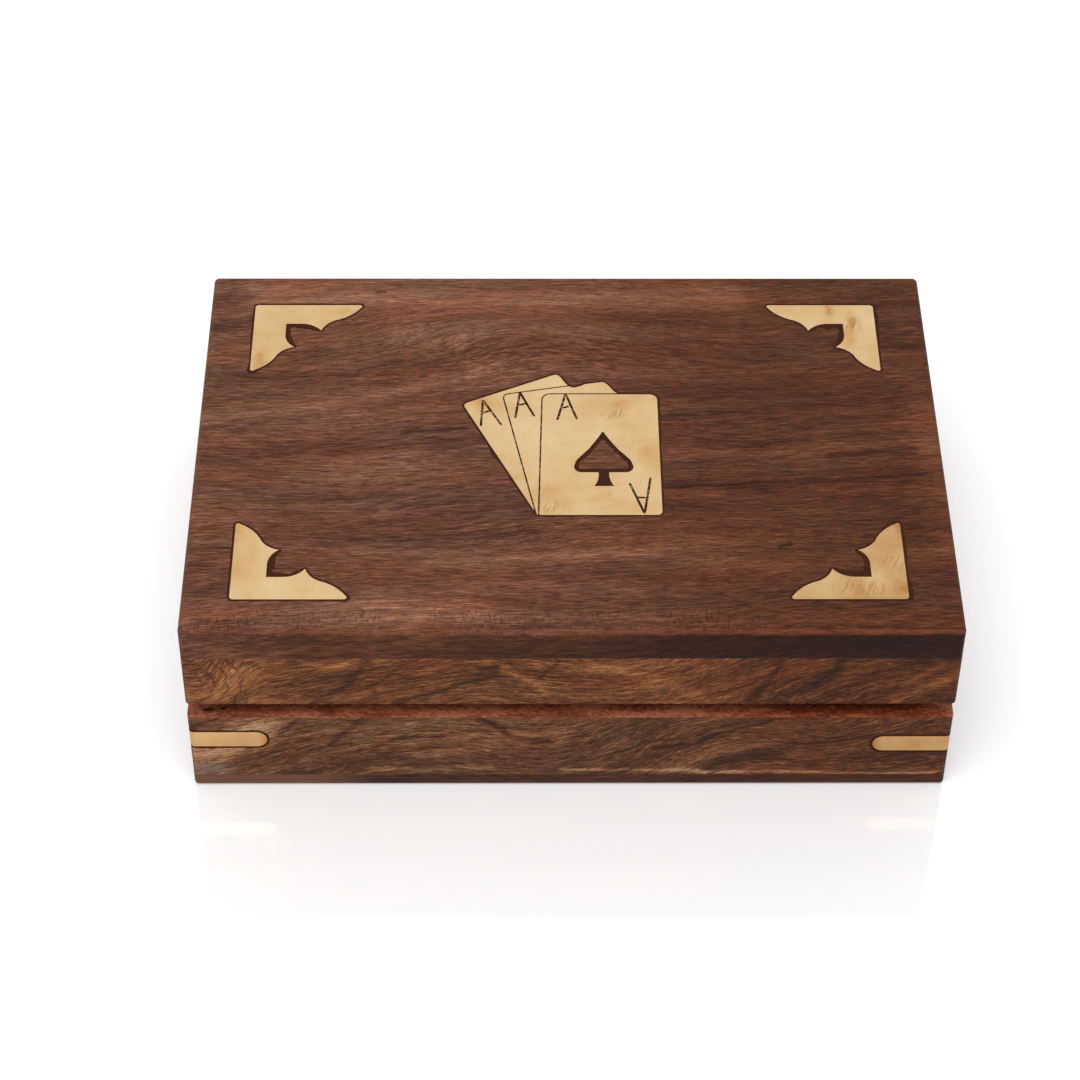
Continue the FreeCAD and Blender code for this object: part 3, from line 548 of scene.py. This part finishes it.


# ---------------------------------------------------------------------- base panel
# A thin board of dark rosewood glued under the walls, with its lower edge rounded. Towards its
# left end a painted sheen makes it paler.

base_tones = ((0.08, (30, 14, 10)), (0.34, (54, 28, 20)), (0.50, (72, 39, 28)),
              (0.66, (92, 52, 37)), (0.92, (124, 78, 56)))
base_wood = rosewood("waxed_rosewood_base", base_tones, shift=(20, 40, 0), swirl=6.0)
# Painted sheen: the board grows paler towards its left end.
painted_left_sheen = base_wood.between(base_wood.split(base_wood.place())[0], -40.0, -58.0, 0.0, 0.75)
base_wood.lay(painted_left_sheen, (120, 80, 60))
coat(nodes["base_panel"], base_wood)


# ---------------------------------------------------------------------- filler
# Dark wax and sawdust, pressed into the gap round each piece of brass and wiped off level. It
# has crept over the ragged edge of the pocket here and there.

filler = Recipe("dark_filler")
grit = filler.noise(filler.place(), (0.5, 0.5, 0.5), 3.0, 0.7)
filler.paint(filler.colours(grit, ((0.35, (42, 21, 14)), (0.65, (74, 41, 29)))))
filler.into("Roughness", 0.75)
filler.into("Specular IOR Level", 0.03)
filler.relief(grit, 0.05 * millimetre)

gap_filled = 0.35 * millimetre
proud = 0.012 * millimetre           # how far the filler stands above or below the surface
longest_step = 1.0 * millimetre
shortest_step = 0.08 * millimetre


def stepped(piece, runs_along):
    """Joins tiny steps in a pocket's walls, and cuts long edges that run along into short ones."""
    mesh = piece.data
    bpy.ops.object.mode_set(mode="EDIT")
    bpy.ops.mesh.select_all(action="SELECT")
    bpy.ops.mesh.remove_doubles(threshold=shortest_step)
    bpy.ops.object.mode_set(mode="OBJECT")
    while True:
        for edge in mesh.edges:
            span = mesh.vertices[edge.vertices[1]].co - mesh.vertices[edge.vertices[0]].co
            edge.select = span.length > longest_step and runs_along(span.normalized())
        for thing in list(mesh.vertices) + list(mesh.polygons):
            thing.select = False
        if not any(edge.select for edge in mesh.edges):
            return
        bpy.ops.object.mode_set(mode="EDIT")
        bpy.ops.mesh.select_mode(type="EDGE")
        bpy.ops.mesh.subdivide(number_cuts=1)
        bpy.ops.object.mode_set(mode="OBJECT")


def filled(piece, wood_side_first, creep, straight=lambda place, outward: outward):
    """Thickens a pocket's walls to the gap's width, and lets the filler creep over the wood.

    creep gives how far at a place, in millimetres, and straight the way that it creeps there.
    """
    count = len(piece.data.vertices)
    thick = piece.modifiers.new("gap", "SOLIDIFY")
    thick.thickness = gap_filled
    thick.offset = 1.0
    thick.use_even_offset = True
    bpy.ops.object.modifier_apply(modifier=thick.name)
    points = piece.data.vertices
    for i in range(count):
        wood_side, brass_side = points[i], points[i + count]
        if not wood_side_first:
            wood_side, brass_side = brass_side, wood_side
        place = wood_side.co / millimetre
        outward = straight(place, (wood_side.co - brass_side.co).normalized())
        # Uneven by lumps of about three millimetres, and by finer ones on them.
        unevenness = 0.55 + 0.5 * noise.noise(place * 0.35) + 0.15 * noise.noise(place * 1.3)
        wood_side.co += outward * creep(place) * max(0.0, unevenness) * millimetre


def shifted_face(piece, by):
    """Raises or lowers what lies in the board's upper face."""
    for point in piece.data.vertices:
        if point.co.z / millimetre > panel_high.z - hair:
            point.co.z += by


def finished_filler(piece, body):
    """Turns a filler piece's faces outward, finishes them and fixes it to its body."""
    bpy.ops.object.mode_set(mode="EDIT")
    bpy.ops.mesh.select_all(action="SELECT")
    bpy.ops.mesh.normals_make_consistent(inside=False)
    bpy.ops.object.mode_set(mode="OBJECT")
    bpy.ops.object.shade_flat()
    coat(piece, filler)
    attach(piece, body)


pocket_floor_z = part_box("card_fan_inlay")[0].z / millimetre
bare_margin = 5      # no brass lies nearer to the board's edges than this
pocket_reach = panel_high.xy - Vector((bare_margin, bare_margin))
bracket_band = Vector((7.4, 6.5))      # from a bracket's outer corner to its bay, both ways
bracket_bays = []
for name in sorted(nodes):
    if name.startswith("bracket_"):
        low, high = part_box(name)
        inward = Vector((-1 if high.x > 0 else 1, -1 if high.y > 0 else 1))
        corner = Vector((high.x if high.x > 0 else low.x, high.y if high.y > 0 else low.y))
        bracket_bays.append((corner / millimetre + inward * bracket_band, inward))


def is_pocket_wall(centre, normal):
    """Whether a face of the board is one of the upright walls round the brass."""
    inside = abs(centre.x) < pocket_reach.x and abs(centre.y) < pocket_reach.y
    return abs(normal.z) < 0.5 and centre.z > pocket_floor_z and inside


# Where the pocket was cut too wide, in plan, with how far that reaches and by how much it grew.
wide_spots = ((Vector((-46.8, -47.8)), 4.0, 1.0), (Vector((-72.4, 23.8)), 3.5, 0.7),
              (Vector((72.4, -30.0)), 9.0, 0.6), (Vector((72.0, -46.0)), 5.0, 0.8),
              (Vector((71.4, 42.0)), 9.0, 0.7), (Vector((11.3, 16.4)), 2.5, 0.3),
              (Vector((1.2, 18.3)), 2.5, 0.6), (Vector((-16.0, -4.0)), 14.0, 0.5))
creep_everywhere = 0.3
creep_in_bay = 2.2
bay_reach = 8.5
bay_lip = 0.9         # the creep starts this far before the bay
askew_reach = 3.0     # it creeps askew this near to the bay's corner


def pocket_creep(place):
    """Millimetres of creep: a little all round, more in a bracket's bay and at the wide spots."""
    creep = creep_everywhere
    for corner, inward in bracket_bays:
        gap = (place.xy - corner) * inward
        if min(gap) > -bay_lip:
            creep += creep_in_bay * max(0.0, 1 - gap.length / bay_reach) ** 0.5
    for spot, reach, growth in wide_spots:
        creep += growth * max(0.0, 1 - (place.xy - spot).length / reach)
    return creep


def away_from_bay(place, outward):
    """Way that the filler creeps: square to the pocket's edge, but askew at a bay's corner."""
    for corner, inward in bracket_bays:
        share = 1 - (place.xy - corner).length / askew_reach
        if share > 0:
            askew = Vector((*inward.normalized(), 0))
            return outward.lerp(askew, min(1.0, 1.6 * share)).normalized()
    return outward


pockets = taken_from(board, "inlay_filler", is_pocket_wall)
stepped(pockets, lambda way: abs(way.z) < 0.5)
filled(pockets, False, pocket_creep, away_from_bay)
shifted_face(pockets, proud)
finished_filler(pockets, "lid")

# The part of the fan that holds the spade and no other cut.
spade_low = Vector((0.2, -14.0))
spade_high = Vector((15.0, 4.2))


def is_spade_wall(centre, normal):
    """Whether a face of the brass is one of the upright walls of the spade cut through it."""
    inside = spade_low.x < centre.x < spade_high.x and spade_low.y < centre.y < spade_high.y
    return abs(normal.z) < 0.5 and inside


spade = taken_from(nodes["card_fan_inlay"], "spade_filler", is_spade_wall)
bpy.ops.object.mode_set(mode="EDIT")
bpy.ops.mesh.select_all(action="SELECT")
bpy.ops.mesh.fill_holes(sides=0)
bpy.ops.object.mode_set(mode="OBJECT")
levelled(spade, panel_high.z)
levelled(spade, pocket_floor_z)
carved(spade, upright_block(spade_body(0.0), pocket_floor_z, panel_high.z), "UNION")
shifted_face(spade, -proud)
finished_filler(spade, "lid")

corner_round = 1.0
strap_creep = 0.45


def outward_from_case(point):
    """Way out of the case's side at a point in plan: one millimetre long where it is flush."""
    half = panel_high.xy - Vector((corner_round, corner_round))
    core = Vector((max(-half.x, min(half.x, point.x)), max(-half.y, min(half.y, point.y))))
    return Vector((point.x - core.x, point.y - core.y, 0.0))


for strap in ("front_left", "front_right", "back_left", "back_right"):
    low, high = (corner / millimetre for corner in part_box("corner_strap_" + strap))
    corner = Vector((high.x if high.x > 0 else low.x, high.y if high.y > 0 else low.y))
    round_start = high.x - low.x - (high.z - low.z) / 2      # its two ends are half rounds

    def is_strap_wall(centre, normal):
        """Whether a face of the strap is part of its narrow edge, round ends and all."""
        past_x = abs(centre.x - corner.x) > round_start
        past_y = abs(centre.y - corner.y) > round_start
        rounded = (past_x and abs(normal.y) < 0.5) or (past_y and abs(normal.x) < 0.5)
        return abs(normal.z) > 0.02 or rounded

    bed = taken_from(nodes["corner_strap_" + strap], "strap_filler_" + strap, is_strap_wall)
    stepped(bed, lambda way: abs(way.z) < 0.2)
    filled(bed, True, lambda place: strap_creep)
    for point in bed.data.vertices:
        outward = outward_from_case(point.co / millimetre)
        if outward.length > corner_round - hair:
            point.co += outward * proud
    finished_filler(bed, "case")


# ---------------------------------------------------------------------- brass inlay
# Corner brackets, card fan and corner straps, sawn from sheet brass, let in, filed level with
# the wood and rubbed to a satin finish. Parts of it have tarnished to amber and brown.

def brass(name, tones, shift=(0, 0, 0), stains=(), hatching=()):
    """Rubbed sheet brass. stains: (strength, centre, half size); hatching: (centre, half size)."""
    recipe = Recipe(name)
    own_spot = recipe.place()
    spot = recipe.vector("ADD", own_spot, shift)
    patch = recipe.reckon("MULTIPLY_ADD", recipe.noise(spot, (11, 11, 11), 3.0, 0.55), 0.75, 0.11)
    for strength, centre, half_size in stains:
        reach = recipe.oval(own_spot, centre, half_size)
        frayed = recipe.reckon("MULTIPLY_ADD", recipe.noise(spot, (1.6, 1.6, 1.6), 3.0), 1.1, reach)
        patch = recipe.reckon("ADD", patch, recipe.between(frayed, 0.5, 1.5, strength, 0.0))
    recipe.paint(recipe.colours(patch, tones))
    wear = 0.0
    for turn in (0.5, 1.9):
        scratch = recipe.add("ShaderNodeMapping", spot, (0, 0, 0), (0, 0, turn))[0]
        scratch = recipe.noise(scratch, (5, 0.14, 0.14), 1.0)
        wear = recipe.reckon("ADD", recipe.between(scratch, 0.60, 0.75), wear)
    for centre, half_size in hatching:
        slanted = recipe.add("ShaderNodeMapping", own_spot, (0, 0, 0), (0, 0, 0.35))[0]
        cut = recipe.between(recipe.noise(slanted, (0.32, 4.0, 4.0), 1.0), 0.52, 0.62)
        inside = recipe.between(recipe.oval(own_spot, centre, half_size), 0.5, 1.1, 2.4, 0.0)
        wear = recipe.reckon("MULTIPLY_ADD", cut, inside, wear)
    recipe.lay(recipe.reckon("MULTIPLY", wear, 0.25), (168, 122, 72))
    recipe.into("Metallic", 1.0)
    recipe.into("Roughness", recipe.reckon("MULTIPLY_ADD", wear, 0.06, 0.38))
    recipe.relief(wear, -0.01 * millimetre)
    return recipe


pale_brass = ((0.26, (228, 198, 154)), (0.48, (219, 186, 138)), (0.64, (210, 170, 116)),
              (0.82, (190, 142, 82)), (1.0, (140, 94, 56)))
amber_brass = ((0.26, (214, 180, 134)), (0.48, (200, 162, 112)), (0.66, (186, 142, 90)),
               (0.85, (160, 112, 64)), (1.0, (122, 80, 46)))
coat(nodes["bracket_front_left"], brass(
    "satin_brass_bracket_front_left", pale_brass, (17, 9, 0),
    stains=[(0.22, (-71.5, -27), (3.5, 6))]))
coat(nodes["bracket_front_right"], brass(
    "satin_brass_bracket_front_right", amber_brass, (31, 40, 0),
    stains=[(0.3, (71.5, -26), (2.5, 5)), (0.22, (70.5, -44), (4, 3)), (-0.2, (64, -42), (4, 6))],
    hatching=[((61, -44.5), (7.5, 3.5)), ((69, -38), (4, 5))]))
coat(nodes["bracket_back_left"], brass(
    "satin_brass_bracket_back_left", pale_brass, (52, 12, 0),
    stains=[(0.28, (-70, 27), (4, 6)), (0.1, (-52, 44), (8, 3))]))
coat(nodes["bracket_back_right"], brass(
    "satin_brass_bracket_back_right", pale_brass, (68, 33, 0),
    stains=[(0.34, (60.9, 44.0), (1.6, 3.6)), (0.38, (66.0, 41.0), (2.6, 4.5)),
            (0.2, (65.0, 34.0), (3, 8))],
    hatching=[((66.5, 39.5), (2.5, 3.5))]))

dull_brass = ((0.26, (208, 172, 124)), (0.48, (192, 152, 103)), (0.66, (176, 132, 84)),
              (0.85, (154, 108, 62)), (1.0, (118, 78, 46)))
strap_brass = brass("satin_brass_straps", dull_brass, (0, 30, 5))
end_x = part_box("wall_front")[1].x / millimetre
reach_x = strap_brass.reckon("ABSOLUTE", strap_brass.split(strap_brass.place())[0])
tarnish = strap_brass.between(reach_x, end_x - 14.0, end_x - 17.0)
strap_brass.lay(tarnish, (226, 196, 158), "MULTIPLY")
for name in nodes:
    if name.startswith("corner_strap_"):
        coat(nodes[name], strap_brass)


# ---------------------------------------------------------------------- card fan
# One sheet of brass in the outline of three cards, let into the top. A graver has cut the edges
# of the cards and their index letters, and the cuts are rubbed full of dark wax.

# The strokes of the four letters, each from its start to its end.
letter_strokes = (((-19.2, 14.0), (-19.6, 5.55)), ((-19.2, 14.0), (-14.96, 5.78)),
                  ((-19.1, 9.82), (-17.4, 10.66)),
                  ((-10.85, 16.5), (-11.92, 8.2)), ((-10.85, 16.5), (-7.65, 8.67)),
                  ((-11.1, 12.34), (-9.6, 12.88)),
                  ((-0.6, 16.11), (-2.52, 7.54)), ((-0.6, 16.11), (1.87, 7.73)),
                  ((-1.4, 11.42), (0.1, 11.94)),
                  ((16.13, -21.97), (13.11, -12.68)), ((16.13, -21.97), (17.75, -10.89)),
                  ((14.75, -16.99), (16.43, -17.13)))
stroke_width = 0.55
stroke_depth = 0.2
cut_past = 1.0      # the saw's cuts pass the sheet by this much, above and below

fan = taken_from(nodes["card_fan_inlay"], "card_fan")
for outline in (*slanted_cuts, spade_body(0.0)):
    saw = upright_block(outline, pocket_floor_z - cut_past, panel_high.z + cut_past)
    carved(fan, saw, "DIFFERENCE")
for start, end in letter_strokes:
    start, end = Vector(start), Vector(end)
    run = end - start
    middle = (start + end) / 2
    graver_size = Vector((run.length, stroke_width, 2 * stroke_depth)) * millimetre
    bpy.ops.object.select_all(action="DESELECT")
    bpy.ops.mesh.primitive_cube_add(
        size=1, scale=graver_size, rotation=(0, 0, math.atan2(run.y, run.x)),
        location=(*middle * millimetre, panel_high.z * millimetre))
    graver = bpy.context.object
    bpy.ops.object.transform_apply(location=True, rotation=True, scale=True)
    carved(fan, graver, "DIFFERENCE")
bpy.ops.object.shade_flat()
fan_brass = brass("satin_brass_card_fan", pale_brass, (60, 40, 0),
                  stains=[(0.16, (-19, 13), (4, 5)), (0.10, (12, 12), (4, 3)),
                          (0.13, (8, -18), (6, 4)), (0.08, (17, -2), (3, 9)),
                          (-0.12, (-8, 4), (9, 14))],
                  hatching=[((-4.2, -19.4), (3.2, 2.8)), ((10, 9.6), (3.5, 2))])
# Wax fills what the graver and the saw have cut below the face, and is rubbed out in places.
height = fan_brass.split(fan_brass.place())[2]
waxed = fan_brass.between(height, panel_high.z - 0.02, panel_high.z - 0.06)
rubbed_out = fan_brass.noise(fan_brass.place(), (0.9, 0.9, 9), 2.0)
rubbed_out = fan_brass.between(rubbed_out, 0.36, 0.52, 0.7, 1.0)
fan_brass.lay(fan_brass.reckon("MULTIPLY", waxed, rubbed_out), (58, 28, 14))
fan_brass.into("Metallic", fan_brass.reckon("SUBTRACT", 1.0, waxed))
fan_brass.into("Specular IOR Level", 0.0)
coat(fan, fan_brass)
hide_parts("card_fan_inlay")
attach(fan, "lid")


# ---------------------------------------------------------------------- hinges, screws and knob
# Two drawn brass butt hinges, screwed to the back wall's rim and into the lid's back rail, and
# a turned brass knob on the drawer with the round-headed screw that holds it.

drawn_brass = ((0.30, (206, 168, 106)), (0.50, (190, 148, 88)), (0.75, (160, 116, 62)))
hinge_brass = brass("drawn_brass_hinges", drawn_brass, (5, 5, 5))
screw_brass = brass("turned_brass_screws", drawn_brass, (9, 25, 5))
for name in nodes:
    if name.startswith("hinge_screws") or name == "drawer_knob_screw":
        coat(nodes[name], screw_brass)
    elif name.startswith("hinge_") or name == "drawer_knob":
        coat(nodes[name], hinge_brass)


# ---------------------------------------------------------------------- inside of the box
# Card floor, liner frame and divider, planed from plainer rosewood and only lightly oiled. The
# floor lies over the drawer's space, and the liner and the divider are glued down on it.

well_tones = ((0.08, (50, 28, 20)), (0.34, (88, 54, 38)), (0.50, (116, 75, 52)),
              (0.66, (142, 96, 66)), (0.92, (176, 128, 92)))
coat(nodes["card_floor"], rosewood("oiled_rosewood_floor", well_tones, shift=(60, 10, 30)))
for number, name in enumerate(("well_liner_front", "well_liner_back")):
    coat(nodes[name], rosewood("oiled_rosewood_" + name, well_tones, grain_along_x,
                               (30 + 50 * number, 70, 20), edge_on))
for number, name in enumerate(("well_liner_left", "well_liner_right", "card_divider")):
    coat(nodes[name], rosewood("oiled_rosewood_" + name, well_tones, grain_along_y,
                               (45 * number, 20, 60), edge_on))


# ---------------------------------------------------------------------- drawer
# Sides, back and bottom of a pale, soft wood left unfinished, behind a rosewood front. The same
# wood makes the strips that guide it and the stop that holds it in.

drawer_tones = ((0.08, (124, 88, 56)), (0.34, (162, 124, 84)), (0.50, (184, 146, 102)),
                (0.66, (202, 166, 120)), (0.92, (224, 194, 150)))
drawer_boards = {"drawer_side_front": grain_along_x, "drawer_side_back": grain_along_x,
                 "drawer_back": grain_along_y, "drawer_bottom": grain_along_x,
                 "drawer_guide_front": grain_along_x, "drawer_guide_back": grain_along_x,
                 "drawer_stop": grain_along_y}
for number, (name, grain) in enumerate(drawer_boards.items()):
    coat(nodes[name], rosewood("bare_pale_wood_" + name, drawer_tones, grain,
                               (25 * number, 40, 15)))


# ---------------------------------------------------------------------- floor, light and camera
# A pale studio floor that runs out of view, one large soft lamp over the front left, and a
# white room. The camera looks down at the front of the box through a long lens.

floor_size = 12.0
floor_glow = 0.14      # lifts the floor to white where it is seen directly
room_level = 0.75      # brightness of the room as light; seen directly, it is white


def seen_directly(tree, amount):
    """The amount, for what the camera, a gloss or a glass sees, and nothing for soft light."""
    rays = tree.nodes.new("ShaderNodeLightPath")
    total = rays.outputs["Is Camera Ray"]
    for kind in ("Is Glossy Ray", "Is Transmission Ray"):
        either = tree.nodes.new("ShaderNodeMath")
        either.operation = "MAXIMUM"
        tree.links.new(total, either.inputs[0])
        tree.links.new(rays.outputs[kind], either.inputs[1])
        total = either.outputs[0]
    scaled = tree.nodes.new("ShaderNodeMath")
    scaled.operation = "MULTIPLY"
    tree.links.new(total, scaled.inputs[0])
    scaled.inputs[1].default_value = amount
    return scaled.outputs[0]


bpy.ops.mesh.primitive_plane_add(size=floor_size, location=(0, 0, 0))
floor = bpy.context.object
floor.name = "studio_floor"
floor.data.transform(floor.matrix_world)
floor.matrix_world = Matrix.Identity(4)
pale = Recipe("pale_floor")
pale.paint(shade((238, 238, 238)))
pale.into("Roughness", 0.08)
pale.into("IOR", 2.2)
pale.into("Emission Color", (1, 1, 1, 1))
pale.into("Emission Strength", seen_directly(pale.tree, floor_glow))
coat(floor, pale)

world = bpy.data.worlds.new("white_room")
bpy.context.scene.world = world
world.use_nodes = True
background = world.node_tree.nodes["Background"]
background.inputs["Color"].default_value = (1, 1, 1, 1)
strength = world.node_tree.nodes.new("ShaderNodeMath")
strength.operation = "ADD"
strength.inputs[1].default_value = room_level
world.node_tree.links.new(seen_directly(world.node_tree, 1.0 - room_level), strength.inputs[0])
world.node_tree.links.new(strength.outputs[0], background.inputs["Strength"])

lamp_spot = Vector((-0.1, -0.35, 1.0))
lamp_data = bpy.data.lights.new("soft_lamp", "AREA")
lamp_data.shape = "DISK"
lamp_data.size = 0.7
lamp_data.energy = 6.0
lamp = bpy.data.objects.new("soft_lamp", lamp_data)
bpy.context.collection.objects.link(lamp)
lamp.location = lamp_spot
lamp.rotation_euler = (-lamp_spot).to_track_quat("-Z", "Y").to_euler()

camera_place = Vector((-0.011519, -0.479126, 0.510443))
camera_pitch = 0.797784
camera_yaw = 0.0109373
camera_roll = 0.00749416
focal_pixels = 2995.514
frame_pixels = 1080
sensor = 36.0
forward = Vector((math.sin(camera_yaw) * math.cos(camera_pitch),
                  math.cos(camera_yaw) * math.cos(camera_pitch), -math.sin(camera_pitch)))
level = Vector((math.cos(camera_yaw), -math.sin(camera_yaw), 0))
upright = level.cross(forward)
right = level * math.cos(camera_roll) + upright * math.sin(camera_roll)
up = right.cross(forward)
camera_data = bpy.data.cameras.new("camera")
camera_data.sensor_width = sensor
camera_data.lens = focal_pixels / frame_pixels * sensor
camera = bpy.data.objects.new("camera", camera_data)
bpy.context.collection.objects.link(camera)
turned = Matrix((right, up, -forward)).transposed().to_4x4()
camera.matrix_world = Matrix.Translation(camera_place) @ turned
bpy.context.scene.camera = camera

bpy.context.scene.view_settings.view_transform = "Standard"
